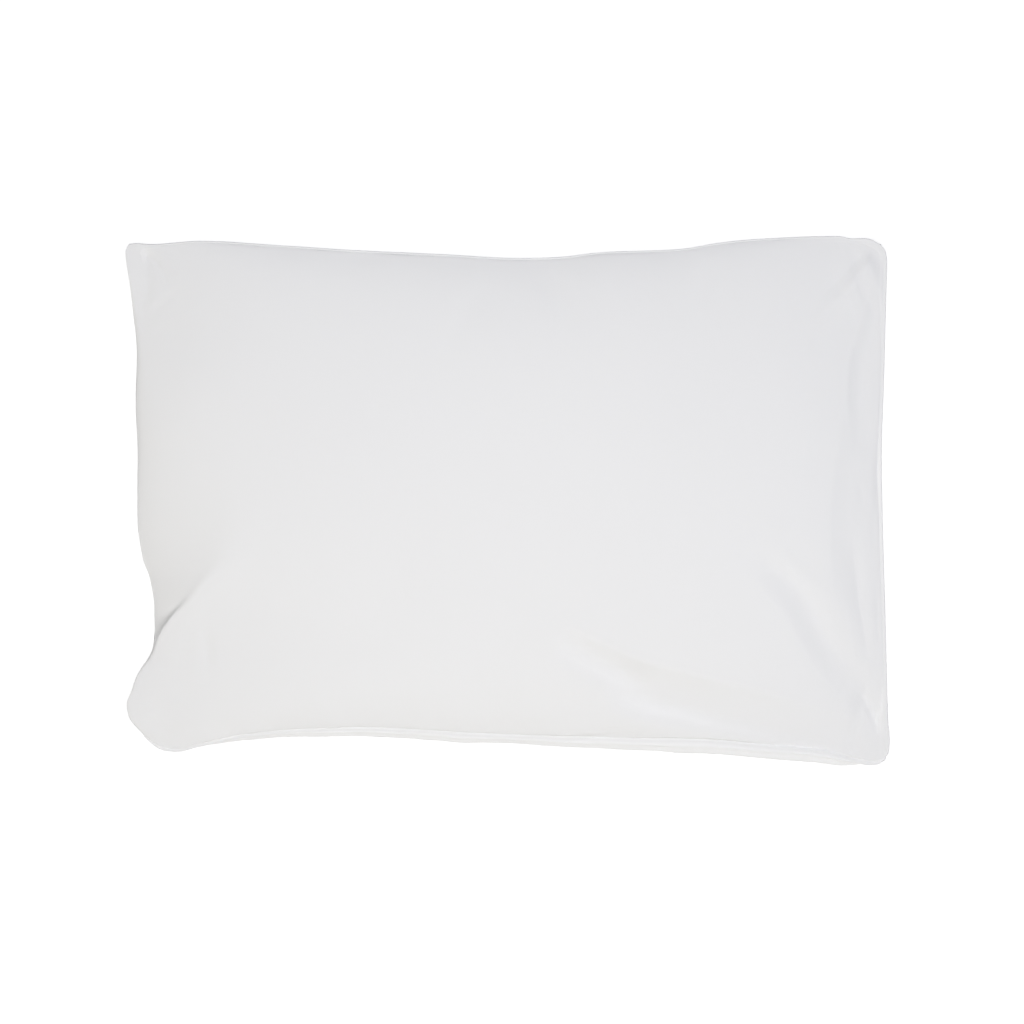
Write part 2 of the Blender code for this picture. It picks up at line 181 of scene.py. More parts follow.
# --------------------------------- soft creases in the front, a row for each
# columns: name, drop over the crease, half-width of the side that drops, reach
#          of the side that comes back up (on the left of the way along the
#          line), where it bends most (-1 at the top of the drop, 1 at its foot,
#          0 nowhere), and the line's points with the share of the drop at each;
#          a negative drop is a ridge
CREASES = (
    ("lower_corner_fold", 10.0, 12.5, 17.0, 0, ((217.8, -48.2, 0.00), (234.8, -69.0, 0.50), (253.7, -84.1, 0.95), (267.9, -101.1, 1.00), (280.2, -123.8, 1.00), (293.4, -146.5, 0.85), (310.4, -169.2, 0.60), (323.7, -186.2, 0.60), (337.0, -205.1, 0.40), (350.0, -226.0, 0.10))),
    ("lower_corner_line", 2.2, 3.2, 6.0, 0, ((328.4, -183.3, 0.00), (336.9, -191.8, 0.90), (343.5, -203.2, 1.00), (349.2, -214.5, 0.90), (353.5, -224.0, 0.00))),
    ("lower_end_fold", 3.6, 7.0, 9.0, 1, ((318.0, -27.4, 0.00), (318.9, -48.2, 0.70), (321.8, -72.8, 1.00), (324.6, -95.4, 1.00), (328.4, -118.1, 1.00), (332.2, -137.0, 0.80), (335.0, -154.0, 0.00))),
    ("lower_end_line", 1.1, 2.4, 4.0, 0, ((349.2, -79.4, 0.00), (349.2, -98.3, 1.00), (350.1, -126.6, 1.00), (352.0, -148.4, 0.00))),
    ("small_patch", 3.2, 8.0, 12.0, 0, ((255.6, -33.1, 0.00), (264.1, -48.2, 0.90), (273.6, -59.5, 1.00), (280.2, -70.9, 0.70), (284.0, -82.2, 0.00))),
    ("end_shoulder", 4.6, 8.0, 34.0, -1, ((324.6, 86.0, 0.00), (321.8, 52.9, 0.80), (315.2, 19.8, 1.00), (312.3, -36.9, 1.00), (315.2, -79.4, 0.50), (321.8, -112.5, 0.00))),
    ("end_line", 1.3, 2.6, 4.5, 0, ((348.2, 48.2, 0.00), (348.2, 24.6, 1.00), (347.3, -3.8, 1.00), (344.5, -19.8, 0.70), (346.3, -44.4, 0.00))),
    ("end_patch", 1.2, 2.6, 5.0, 0, ((329.3, 16.1, 0.00), (331.2, 6.6, 1.00), (332.2, -4.7, 0.00))),
    ("upper_end_fold", 4.4, 5.0, 13.0, -1, ((352.0, 205.1, 0.00), (348.2, 189.9, 0.50), (342.6, 172.9, 0.70), (336.9, 156.9, 1.00), (330.3, 140.8, 1.00), (326.5, 120.0, 1.00), (325.6, 95.4, 0.90), (327.4, 71.8, 0.60), (331.2, 38.7, 0.00))),
    ("upper_corner_fold", -7.5, 5.5, 18.0, 0, ((352.0, 241.0, 0.30), (340.7, 230.6, 0.80), (330.3, 221.1, 1.00), (320.8, 209.8, 1.00), (311.4, 198.4, 0.90), (300.0, 187.1, 0.50), (280.2, 165.4, 0.00))),
    ("long_diagonal", 15.0, 16.0, 15.0, -1, ((344.5, -225.9, 0.00), (323.7, -219.2, 0.15), (300.0, -212.6, 0.35), (267.0, -204.1, 0.55), (224.4, -191.8, 0.75), (181.9, -181.4, 1.00), (151.7, -173.9, 1.00), (125.2, -166.3, 0.80), (98.8, -156.9, 0.00))),
    ("diagonal_start", 8.5, 8.0, 14.0, -1, ((144.1, -166.3, 0.00), (121.4, -157.8, 0.90), (96.9, -146.5, 1.00), (76.1, -136.1, 0.90), (49.6, -121.9, 0.00))),
    ("side_band", 1.4, 9.0, 16.0, 0, ((134.7, -180.5, 0.00), (87.4, -180.5, 0.80), (40.2, -179.5, 1.00), (-54.3, -189.9, 1.00), (-148.8, -195.6, 1.00), (-224.4, -199.4, 0.00))),
    ("seam_pinch", 2.6, 1.6, 3.6, 1, ((125.2, -221.1, 0.00), (112.0, -220.2, 0.80), (98.8, -220.2, 0.80), (87.4, -221.6, 1.00), (78.0, -222.1, 1.00), (64.7, -220.2, 0.00))),
    ("seam_pinch_top", 0.9, 1.4, 2.5, 0, ((113.9, -215.9, 0.00), (104.4, -215.9, 1.00), (87.4, -217.3, 0.60), (76.1, -217.3, 0.00))),
    ("upper_pull", 2.6, 9.0, 14.0, 0, ((10.9, 225.9, 0.00), (27.9, 205.1, 1.00), (49.6, 171.0, 0.80), (55.3, 142.7, 0.00))),
    ("upper_pull_2", 2.0, 9.0, 12.0, 0, ((181.9, 231.5, 0.40), (178.1, 208.8, 1.00), (172.5, 184.3, 0.80), (170.6, 161.6, 0.00))),
    ("upper_pull_3", 1.8, 8.0, 14.0, 0, ((-20.3, 220.2, 0.00), (-35.4, 193.7, 1.00), (-54.3, 165.4, 0.80), (-73.2, 142.7, 0.00))),
    ("nub_crease", 1.8, 3.0, 5.0, 0, ((-347.3, 237.2, 0.40), (-337.8, 229.6, 1.00), (-328.4, 216.4, 0.80), (-317.0, 197.5, 0.00))),
    ("nub_line", 2.2, 2.4, 4.5, 0, ((-346.3, 243.8, 0.50), (-345.4, 237.2, 1.00), (-343.5, 229.6, 1.00), (-339.7, 220.2, 0.00))),
)
# columns: name, x, y, half-length, half-width, turn in degrees, depth
DENTS = (
    ("ear_patch", -281.0, -143.0, 23.0, 6.5, 92.0, 2.2),
    ("ear_glint", -336.0, -201.0, 6.5, 5.0, 20.0, -1.3),
    ("ear_glint_2", -311.5, -191.0, 9.0, 5.0, 5.0, -1.2),
    ("ear_glint_3", -332.0, -223.0, 7.5, 5.0, -20.0, -1.2),
    ("upper_left", -304.0, 196.0, 24.0, 15.0, 60.0, 1.8),
    ("face_spot", -120.0, 86.0, 7.0, 6.0, 0.0, 0.9),
    ("end_glint", 282.0, 58.0, 11.0, 6.0, 80.0, -1.2),
)

# -------------------- the tuck above the lower corner, a row along its ridge
# The corner lies on top of the end, which falls steeply from the ridge to its
# outline.
# columns: y, x, how far the wall is a straight one, depth of the pocket under
#          the ridge, height of the ridge, how softly it bends there, height of
#          the wall's foot
TUCK = (
    (-172.0, -353.0, 0.00, 0.0, 0.0, 1.0, 35.0),
    (-162.0, -348.0, 0.30, 0.0, 0.8, 1.0, 32.0),
    (-154.0, -342.0, 0.80, 0.5, 1.6, 1.0, 25.0),
    (-146.0, -335.0, 1.00, 3.5, 3.0, 1.0, 14.0),
    (-138.0, -330.0, 1.00, 8.0, 4.0, 1.0, 8.0),
    (-130.0, -326.6, 1.00, 11.0, 4.5, 1.0, 6.0),
    (-120.0, -320.8, 1.00, 11.0, 5.0, 1.0, 7.0),
    (-107.0, -311.0, 1.00, 7.0, 5.5, 1.2, 13.0),
    (-98.0, -303.0, 1.00, 3.0, 6.0, 1.4, 17.5),
    (-92.0, -298.0, 1.00, 1.6, 6.0, 1.6, 20.0),
    (-82.0, -290.6, 1.00, 0.8, 5.5, 2.0, 22.0),
    (-73.0, -283.0, 1.00, 0.3, 5.0, 2.6, 22.5),
    (-63.0, -273.0, 1.00, 0.0, 4.5, 4.0, 23.0),
    (-44.0, -261.0, 0.90, 0.0, 3.5, 6.0, 24.5),
    (-15.0, -250.0, 0.65, 0.0, 2.2, 8.0, 29.0),
    (20.0, -243.0, 0.35, 0.0, 0.8, 9.0, 34.0),
    (70.0, -240.0, 0.00, 0.0, 0.0, 9.0, 38.0),
)
POCKET_REACH, RIDGE_REACH = 22.0, 26.0
POCKET_EDGE = 6.0  # width of the step under the ridge
WALL_CURVE = 0.80  # 1 is a straight wall
TUCK_OVERHANG = 3.5  # how far the corner's edge lies over the end

# ------------------- the sewn lip: lower side, upper side and closed end
# columns: width, height of the bead, depth of the groove, size of the gathers
LIPS = (
    (2.0, 0.4, 0.6, 1.0),
    (1.4, 0.0, 0.0, 0.8),
    (2.0, 0.1, 0.0, 0.8),
)

# columns: x, how far the back panel is pushed out below the seam
ROLL = (
    (-335.0, 0.0),
    (-253.0, 8.5),
    (-139.0, 10.0),
    (-35.0, 11.5),
    (2.0, 10.6),
    (50.0, 12.2),
    (135.0, 13.8),
    (170.0, 16.3),
    (225.0, 15.5),
    (290.0, 19.5),
    (305.0, 23.0),
    (322.0, 31.0),
    (344.0, 42.0),
    (354.0, 24.0),
    (358.5, 0.0),
)

# -------------------------------------------------------- the mouth and its hem
MOUTH = 15.0  # from the end of the case to the hem's edge, along the back
MOUTH_UNDER = 11.0  # how far the front panel can be seen to go in behind the hem
HEM = 22.0  # width of the hem
HEM_RAISE = 1.0  # what the doubled cloth adds
MOUTH_ENDS = (26.0, 474.0)  # across the width, in flat mm
STITCH, STITCH_GAP, THREAD = 2.3, 0.6, 0.24


# ------------------------------------------------------------------ functions
def between(along, rows, places):
    """Smooth values between the rows of a table, which never overshoot them."""
    along, rows = np.asarray(along, float), np.asarray(rows, float)
    single = rows.ndim == 1
    rows = rows.reshape(len(along), -1)
    gap = np.diff(along)[:, None]
    secant = np.diff(rows, axis=0) / gap
    slope = np.empty_like(rows)
    slope[0], slope[-1] = secant[0], secant[-1]
    w1, w2 = 2 * gap[1:] + gap[:-1], gap[1:] + 2 * gap[:-1]
    same = secant[:-1] * secant[1:] > 0
    before, after = (np.where(same, s, 1.0) for s in (secant[:-1], secant[1:]))
    slope[1:-1] = np.where(same, (w1 + w2) / (w1 / before + w2 / after), 0.0)
    places = np.clip(np.asarray(places, float).reshape(-1), along[0], along[-1])
    cell = np.clip(np.searchsorted(along, places, side="right") - 1, 0, len(gap) - 1)
    h = gap[cell]
    t = (places[:, None] - along[cell][:, None]) / h
    out = (
        (2 * t**3 - 3 * t**2 + 1) * rows[cell]
        + (t**3 - 2 * t**2 + t) * h * slope[cell]
        + (3 * t**2 - 2 * t**3) * rows[cell + 1]
        + (t**3 - t**2) * h * slope[cell + 1]
    )
    return out[:, 0] if single else out


def shares(line):
    step = np.linalg.norm(np.diff(line[:, :2], axis=0), axis=1)
    return np.concatenate([[0.0], np.cumsum(step)]) / step.sum()


def side_curve(table, places):
    table = np.array(table)
    return between(shares(table), table, places)


def soft_step(t):
    t = np.clip(t, 0.0, 1.0)
    return t * t * (3 - 2 * t)


def on_line(points, line):
    """For each point: share of the way along a line, signed distance from it
    (positive on its left side), and the line's direction there."""
    best = np.full(len(points), 1e9)
    share, side = np.zeros(len(points)), np.zeros(len(points))
    heading = np.zeros((len(points), 2))
    lengths = np.linalg.norm(np.diff(line, axis=0), axis=1)
    travelled = np.concatenate([[0.0], np.cumsum(lengths)])
    for start, end, length, before in zip(line[:-1], line[1:], lengths, travelled):
        way = (end - start) / length
        along = np.clip((points - start) @ way, 0.0, length)
        off = points - (start + along[:, None] * way)
        distance = np.hypot(off[:, 0], off[:, 1])
        nearer = distance < best
        best[nearer] = distance[nearer]
        share[nearer] = ((before + along) / travelled[-1])[nearer]
        turn = way[0] * off[:, 1] - way[1] * off[:, 0]
        side[nearer] = np.where(turn >= 0, 1.0, -1.0)[nearer]
        heading[nearer] = way
    return share, best * side, heading


def spline_weights(count, at):
    """Weights of a cubic B-spline on evenly spaced control points, which passes
    through the first and the last of them."""
    at = np.clip(at, 0, count - 1)
    cell = np.minimum(at.astype(int), count - 2)
    t = at - cell
    parts = (
        (1 - t) ** 3 / 6,
        (3 * t**3 - 6 * t**2 + 4) / 6,
        (-3 * t**3 + 3 * t**2 + 3 * t + 1) / 6,
        t**3 / 6,
    )
    wide = np.zeros((len(at), count + 2))
    for k, part in enumerate(parts):
        wide[np.arange(len(at)), cell + k] += part
    inner = wide[:, 1:-1].copy()
    inner[:, 0] += 2 * wide[:, 0]
    inner[:, 1] -= wide[:, 0]
    inner[:, -1] += 2 * wide[:, -1]
    inner[:, -2] -= wide[:, -1]
    return inner


def wander(places, step, seed):
    """A smooth, uneven line of values around 0, about 1 high, with a bend about
    every step."""
    places = np.asarray(places, float)
    low = places.min()
    count = int((places.max() - low) / step) + 5
    values = np.random.RandomState(seed).uniform(-1, 1, count)
    return spline_weights(count, (places - low) / step + 1) @ values * 1.5


def wander_field(s, t, step, seed):
    """The same over a grid of places s by t."""
    ns, nt = (int((np.max(a) - np.min(a)) / step) + 5 for a in (s, t))
    values = np.random.RandomState(seed).uniform(-1, 1, (ns, nt))
    return (
        spline_weights(ns, (s - np.min(s)) / step + 1)
        @ values
        @ spline_weights(nt, (t - np.min(t)) / step + 1).T
        * 2.0
    )


# ------------------------------------------------- the shape around the pillow
def sewn_places(U, V):
    """The panel between the four sides, at the sides' own height."""
    lower, upper = side_curve(LOWER_SIDE, U), side_curve(UPPER_SIDE, U)
    left, right = side_curve(OPEN_END, V), side_curve(CLOSED_END, V)
    u, v = U.reshape(-1, 1), V.reshape(-1, 1)
    corners = (
        (1 - u) * (1 - v) * np.array(LOWER_SIDE[0])
        + u * (1 - v) * np.array(LOWER_SIDE[-1])
        + (1 - u) * v * np.array(UPPER_SIDE[0])
        + u * v * np.array(UPPER_SIDE[-1])
    )
    place = (1 - v) * lower + v * upper + (1 - u) * left + u * right - corners
    near = [1 / np.maximum(d, 1e-4) ** 2 for d in (v, 1 - v, 1.5 * u, 1.5 * (1 - u))]
    height = sum(w * side[:, 2:] for w, side in zip(near, (lower, upper, left, right)))
    place[:, 2:] = height / sum(near)
    return place


def fill_shares(U, V, fuller=0.0, softness=EDGE_SOFTNESS):
    place, crown, fullness = np.array(SECTIONS).T
    u, v = U.reshape(-1), V.reshape(-1)
    across = np.abs(2 * v - 1)
    fullness = between(place, fullness, u) + fuller
    far_u, far_v = np.minimum(u, 1 - u) / CORNER_REACH[0], np.minimum(v, 1 - v) / CORNER_REACH[1]
    empty = CORNER_FLAT * np.exp(-(far_u**2) - far_v**2)
    return between(place, crown, u) * (1 - across**fullness) ** softness * (1 - empty)


def body_at(U, V):
    """The smooth front panel over the pillow, before its tuck and creases."""
    place, fill = sewn_places(U, V), fill_shares(U, V)
    place[:, 2] += CROWN * fill
    return place, fill


def tuck_line():
    """The ridge of the tuck as rows of y, x, the table's columns, the height of
    the smooth front there, and the x of the outline beside it."""
    table = np.array(TUCK)
    y = np.linspace(table[0, 0], table[-1, 0], 70)
    rows = between(table[:, 0], table[:, 1:], y)
    u, v = (g.reshape(-1) for g in np.meshgrid(
        np.linspace(0.0, 0.28, 281), np.linspace(0.06, 0.74, 461), indexing="ij"
    ))
    body = body_at(u, v)[0]
    height = np.empty(len(y))
    for k, (at_x, at_y) in enumerate(zip(rows[:, 0], y)):
        gap = (body[:, 0] - at_x) ** 2 + (body[:, 1] - at_y) ** 2
        near = np.argpartition(gap, 4)[:4]
        weight = 1 / (gap[near] + 0.02)
        height[k] = weight @ body[near, 2] / weight.sum()
    end = side_curve(OPEN_END, np.linspace(0, 1, 400))
    outline = np.interp(y, end[:, 1], end[:, 0])
    return np.column_stack([y, rows, height, outline])


def tuck_at(y, line):
    """The columns of the tuck at each y, and how far they count there."""
    at = [np.interp(y, line[:, 0], line[:, c]) for c in range(1, line.shape[1])]
    return at, soft_step((y - line[0, 0]) / 6.0) * soft_step((line[-1, 0] - y) / 20.0)


def tucked(place, line):
    """Heights of the front with its tuck: a straight wall on the end's side of
    the ridge, and a pocket under the ridge where the corner lies over it."""
    x, y, z = place.T
    (ridge_x, straight, pocket, ridge, soft, foot, height, out_x), inside = tuck_at(y, line)
    room = np.maximum(ridge_x - out_x, 1.0)
    total = np.zeros(len(x))
    for shift, weight in ((-1, 1), (-0.5, 2), (0, 3), (0.5, 2), (1, 1)):
        away = ridge_x - x + shift * soft
        share = np.clip(away / room, 0.0, 1.0)
        wall = foot + (height + ridge - foot) * (1 - share) ** WALL_CURVE
        left = straight * (wall - z) + (1 - straight) * ridge * np.exp(-((away / 9.0) ** 2))
        right = ridge * np.exp(-((away / RIDGE_REACH) ** 2))
        total += np.where(away > 0, left, right) * weight / 9
    away = ridge_x - x
    pressed = pocket * soft_step(away / POCKET_EDGE)
    pressed *= np.exp(-((np.maximum(away, 0.0) / POCKET_REACH) ** 2))
    pressed *= 1 - np.clip(away / room, 0.0, 1.0) ** 3
    return z + inside * (total - pressed)


def tucked_back(place, U, line):
    """Share of the back's height that is left beside the foot of that wall."""
    at, inside = tuck_at(place[:, 1], line)
    seam = np.maximum(place[:, 2], 1.0)
    gone = inside * at[1] * np.clip(1 - at[5] / seam, 0.0, 1.0)
    return 1 - gone * np.exp(-((U.reshape(-1) / 0.05) ** 2))


def crease_heights(points):
    total = np.zeros(len(points))
    for _, drop, half, reach, bend, line in CREASES:
        line = side_curve(line, np.linspace(0, 1, 33))
        share, away, _ = on_line(points, line[:, :2])
        strength = np.interp(share, shares(line), line[:, 2])
        t = np.clip((away + half) / (2 * half), 0.0, 1.0)
        down = (1 - (1 - t) ** 1.7, soft_step(t), t**1.7)[bend + 1]
        back = np.exp(-((np.maximum(away - half, 0.0) / reach) ** 2))
        total -= drop * strength * down * back
    for _, x, y, long, wide, turn, depth in DENTS:
        a = math.radians(turn)
        dx, dy = points[:, 0] - x, points[:, 1] - y
        along, off = dx * math.cos(a) + dy * math.sin(a), dy * math.cos(a) - dx * math.sin(a)
        total -= depth * np.exp(-((along / long) ** 2) - (off / wide) ** 2)
    return total


def rest_on_surface(z):
    k = REST_BLEND
    return np.where(z >= k, z, np.where(z <= -k, 0.0, (z + k) ** 2 / (4 * k)))


def plain_front_at(U, V):
    place, _ = body_at(U, V)
    place[:, 2] = tucked(place, RIDGE)
    return place


def front_at(U, V):
    place, fill = body_at(U, V)
    folds = crease_heights(place[:, :2]) * soft_step(CROWN * fill / 1.5)
    place[:, 2] = tucked(place, RIDGE) + folds
    return place


def back_at(U, V):
    seam, fill = sewn_places(U, V), fill_shares(U, V, BACK_FULLNESS, BACK_SOFTNESS)
    back = seam.copy()
    back[:, 2] = rest_on_surface(seam[:, 2] - BELLY * fill**0.88)
    back[:, 2] *= tucked_back(seam, U, RIDGE)
    below = np.clip((seam[:, 2] - back[:, 2]) / ROLL_DROP, 0.0, 1.0)
    place, reach = np.array(ROLL).T
    reach = np.where(
        (seam[:, 0] > place[0]) & (seam[:, 0] < place[-1]),
        between(place, reach, seam[:, 0]),
        0.0,
    )
    back[:, 1] -= reach * np.sin(math.pi * below) * (V.reshape(-1) < 0.5)
    return back


def even_lengths(shape_at, U, V):
    """Moves the places inside a panel so that its cells are about as long on
    the curved panel as they were cut.  The sewn sides stay as they are."""
    even = np.linspace(0, 1, 121)
    grid = shape_at(*(g.reshape(-1) for g in np.meshgrid(even, even, indexing="ij")))
    grid = grid.reshape(121, 121, 3)
    maps = []
    for axis in (0, 1):
        middle = np.take(grid, range(36, 85, 8), axis=1 - axis)
        step = np.linalg.norm(np.diff(middle, axis=axis), axis=2).mean(axis=1 - axis)
        length = np.concatenate([[0.0], np.cumsum(step)])
        maps.append(np.interp(np.linspace(0, 1, 201), length / length[-1], even))
    table = np.linspace(0, 1, 201)
    hold_u = soft_step(np.minimum(V, 1 - V) / 0.16)
    hold_v = soft_step(np.minimum(U, 1 - U) / 0.12)
    return (
        U + hold_u * (np.interp(U, table, maps[0]) - U),
        V + hold_v * (np.interp(V, table, maps[1]) - V),
    )


def around(along, across, front):
    """A grid of points around the case: from the closed end over the front to
    the open end and back under it to the closed end, by the width."""
    U, V = np.meshgrid(along / FLAT_LENGTH, across / FLAT_WIDTH, indexing="ij")
    panels = []
    for measured, shape_at in ((plain_front_at, front), (back_at, back_at)):
        u, v = even_lengths(measured, U, V)
        panels.append(shape_at(u.reshape(-1), v.reshape(-1)).reshape(U.shape + (3,)))
    return np.concatenate([panels[0][::-1], panels[1][1:]])


def starting_shape():
    nu, nv = round(FLAT_LENGTH / CELL), round(FLAT_WIDTH / CELL)
    return around(
        np.linspace(0, FLAT_LENGTH, nu + 1), np.linspace(0, FLAT_WIDTH, nv + 1), plain_front_at
    )


# --------------------------------------------------------- settling as cloth
def settled(shape):
    """How far Blender's cloth moves the grid, settling it against its cut lengths."""
    rows, columns = shape.shape[:2]
    nu = (rows - 1) // 2
    number = np.arange(rows * columns).reshape(rows, columns)
    for i in range(nu + 1, rows):
        number[i, 0], number[i, -1] = number[2 * nu - i, 0], number[2 * nu - i, -1]
    number[-1] = number[0]
    used, compact = np.unique(number, return_inverse=True)
    compact = compact.reshape(number.shape)
    points = shape.reshape(-1, 3)[used] * MM
    quads = np.stack(
        [compact[:-1, :-1], compact[1:, :-1], compact[1:, 1:], compact[:-1, 1:]], axis=-1
    ).reshape(-1, 4)
    mesh = bpy.data.meshes.new("settling")
    mesh.from_pydata(points.tolist(), [], quads[:, ::-1].tolist())
    mesh.update()
    cloth_object = bpy.data.objects.new("settling", mesh)
    bpy.context.scene.collection.objects.link(cloth_object)

    along = np.abs(np.arange(rows) - nu) * CELL
    flat = np.stack(
        [
            np.repeat(along, columns),
            np.tile(np.arange(columns) * CELL, rows),
            np.zeros(rows * columns),
        ],
        axis=1,
    )[used]
    cloth_object.shape_key_add(name="Basis")
    cut = cloth_object.shape_key_add(name="cut")
    cut.data.foreach_set("co", (flat * MM).reshape(-1))
    cut.value = 0.0

    hold = cloth_object.vertex_groups.new(name="hold")
    sewn = np.zeros((rows, columns), bool)
    sewn[:, [0, -1]] = True
    sewn[[0, -1]] = True
    # The sewn edge, the strip below it and the cloth that the pillow rests on
    # stay where they are, the back, the tuck and the mouth move a little, and
    # the rest is free.
    resting = shape[..., 2] < 0.6
    x, y, _ = np.moveaxis(shape, 2, 0)
    end = soft_step((-262.0 - x) / 30.0) * soft_step((30.0 - y) / 60.0)
    mouth = soft_step((30.0 - np.abs(np.arange(rows) - nu) * CELL) / 20.0)[:, None]
    below = (np.arange(rows) > nu)[:, None] * (0.6 + 0.4 * soft_step((-196.0 - y) / 16.0))
    strength = np.round(np.maximum(np.maximum(end, mouth) * 0.8, below), 1)
    strength = np.where(resting | sewn, 1.0, strength).reshape(-1)[used]
    for level in np.unique(strength[strength > 0]):
        hold.add([int(n) for n in np.flatnonzero(strength == level)], float(level), "REPLACE")

    modifier = cloth_object.modifiers.new("Cloth", "CLOTH")
    cloth = modifier.settings
    cloth.quality = 6
    cloth.mass = 0.3
    cloth.air_damping = 1.0
    cloth.tension_stiffness = cloth.compression_stiffness = 15.0
    cloth.tension_damping = cloth.compression_damping = 5.0
    cloth.shear_stiffness, cloth.shear_damping = 5.0, 5.0
    cloth.bending_stiffness, cloth.bending_damping = 0.5, 0.5
    cloth.use_pressure = True
    cloth.uniform_pressure_force = 4.0
    cloth.effector_weights.gravity = 0.0
    cloth.vertex_group_mass = "hold"
    cloth.pin_stiffness = 1.0
    cloth.rest_shape_key = cut
    modifier.collision_settings.use_collision = False
    modifier.collision_settings.use_self_collision = False
    modifier.point_cache.frame_start = 1
    modifier.point_cache.frame_end = SETTLE_FRAMES

    scene = bpy.context.scene
    scene.frame_start, scene.frame_end = 1, SETTLE_FRAMES
    for number_of_frame in range(1, SETTLE_FRAMES + 1):
        scene.frame_set(number_of_frame)
    result = cloth_object.evaluated_get(bpy.context.evaluated_depsgraph_get())
    moved = np.empty(len(points) * 3, np.float32)
    result.data.vertices.foreach_get("co", moved)
    scene.frame_set(1)
    bpy.data.objects.remove(cloth_object, do_unlink=True)
    bpy.data.meshes.remove(mesh)

    whole = np.empty(rows * columns, int)
    whole[:] = compact.reshape(-1)
    moved = (moved.reshape(-1, 3).astype(float) / MM)[whole].reshape(shape.shape)
    step = moved - shape
    far = np.linalg.norm(step, axis=2, keepdims=True)
    return step * SETTLE_CAP / np.maximum(SETTLE_CAP, far)


# ------------------------------------------------------------ the fine surface
def runs(*spans):
    """Places from span to span: each is a start, an end and a spacing."""
    out = []
    for start, end, step in spans:
        count = max(1, round((end - start) / step))
        out.append(start + (end - start) * np.arange(count) / count)
    return np.concatenate(out + [[spans[-1][1]]])


def fine_places():
    """Places along the case from its open end, and across it, in cut mm."""
    slit = np.array([MOUTH - 0.4, MOUTH - 0.12, MOUTH + 0.12, MOUTH + 0.4])
    stitch = MOUTH + HEM
    near = np.concatenate(
        [
            runs((0.0, 4.0, 0.8), (4.0, MOUTH - 1.0, 1.7))[:-1],
            [MOUTH - 1.0],
            slit,
            [MOUTH + 1.2, MOUTH + 2.4],
            runs((MOUTH + 4.2, stitch - 2.0, 1.9)),
            [stitch - 1.3, stitch - 0.6, stitch, stitch + 0.6, stitch + 1.4],
        ]
    )
    along = np.concatenate(
        [
            near,
            runs(
                (stitch + 3.0, 90.0, 2.0),
                (90.0, 120.0, 2.7),
                (120.0, 590.0, 4.4),
                (590.0, 700.0, 2.5),
                (700.0, 742.0, 1.9),
                (742.0, 745.6, 0.9),
                (745.6, FLAT_LENGTH, 0.55),
            ),
        ]
    )
    across = runs(
        (0.0, 4.4, 0.55),
        (4.4, 8.0, 0.9),
        (8.0, 46.0, 2.0),
        (46.0, 90.0, 3.0),
        (90.0, 185.0, 2.1),
        (185.0, 400.0, 4.4),
        (400.0, 480.0, 2.6),
        (480.0, 492.0, 1.8),
        (492.0, 495.6, 0.9),
        (495.6, FLAT_WIDTH, 0.55),
    )
    return along, across, int(np.argmin(abs(along - slit[0])))


def normals_of(grid):
    along, across = np.gradient(grid, axis=0), np.gradient(grid, axis=1)
    normal = np.cross(along, across)
    return -normal / np.maximum(np.linalg.norm(normal, axis=2, keepdims=True), 1e-9)


def seams(places, across):
    """For each sewn side: its distance and the way along it at each place of
    the grid, and its number."""
    side = np.broadcast_to(across[None, :], (len(places), len(across)))
    along = np.broadcast_to(np.abs(places)[:, None], side.shape)
    return (
        (side, along, 0),
        (FLAT_WIDTH - side, along, 1),
        (FLAT_LENGTH - along, side, 2),
    )


def sewn_lip(grid, places, across):
    """Makes the sewn edge a thin flat lip, with a small bead along its edge and
    a groove where the thread pulls the cloth in."""
    front = (places < 0)[:, None]
    outward = ((0.0, -1.0), (0.0, 1.0), (1.0, 0.0))
    for distance, line, number in seams(places, across):
        wide, bead, groove, _ = LIPS[number]
        edge = (grid[:, 0], grid[:, -1], grid[0])[number]
        edge_z = np.broadcast_to(edge[:, None, 2] if number < 2 else edge[None, :, 2], distance.shape)
        flat = np.exp(-((distance / (1.35 * wide)) ** 3))
        grid[..., 2] = edge_z + (grid[..., 2] - edge_z) * (1 - 0.9 * flat)
        inward = wide * 0.75 * soft_step(distance / wide) * np.exp(-((distance / 24.0) ** 2))
        grid[..., :2] -= np.array(outward[number]) * inward[..., None]
        uneven = wander(line.reshape(-1), 8.5, 60 + number).reshape(line.shape)
        upwards = np.where(front, 1.0, -1.0)
        grid[..., 2] += upwards * (
            bead * np.sin(math.pi * np.clip(distance / wide, 0, 1))
            - groove * (1 + 0.8 * uneven) * np.exp(-(((distance - wide - 0.4) / 0.8) ** 2))
        )


def sewn_edge_heights(places, across):
    """How the cloth gathers along the sewn edge."""
    total = np.zeros((len(places), len(across)))
    front = (places < 0)[:, None]
    for distance, line, number in seams(places, across):
        seeds = ((11, 12), (21, 22), (31, 32))[number]
        flat_line = line.reshape(-1)
        fine = wander(flat_line, 6.5, seeds[0]).reshape(line.shape)
        broad = wander(flat_line, 17.0, seeds[1]).reshape(line.shape)
        other = wander(flat_line, 7.5, seeds[0] + 5).reshape(line.shape)
        gathers = np.where(front, fine, other)
        size = (0.55 + 0.35 * broad) * LIPS[number][3]
        total += (
            0.55 * gathers * size * soft_step((distance - 2.0) / 3.0) * np.exp(-distance / 9.0)
            + 0.7 * broad * LIPS[number][3] * soft_step(distance / 6.0) * np.exp(-distance / 20.0)
        )
    return total


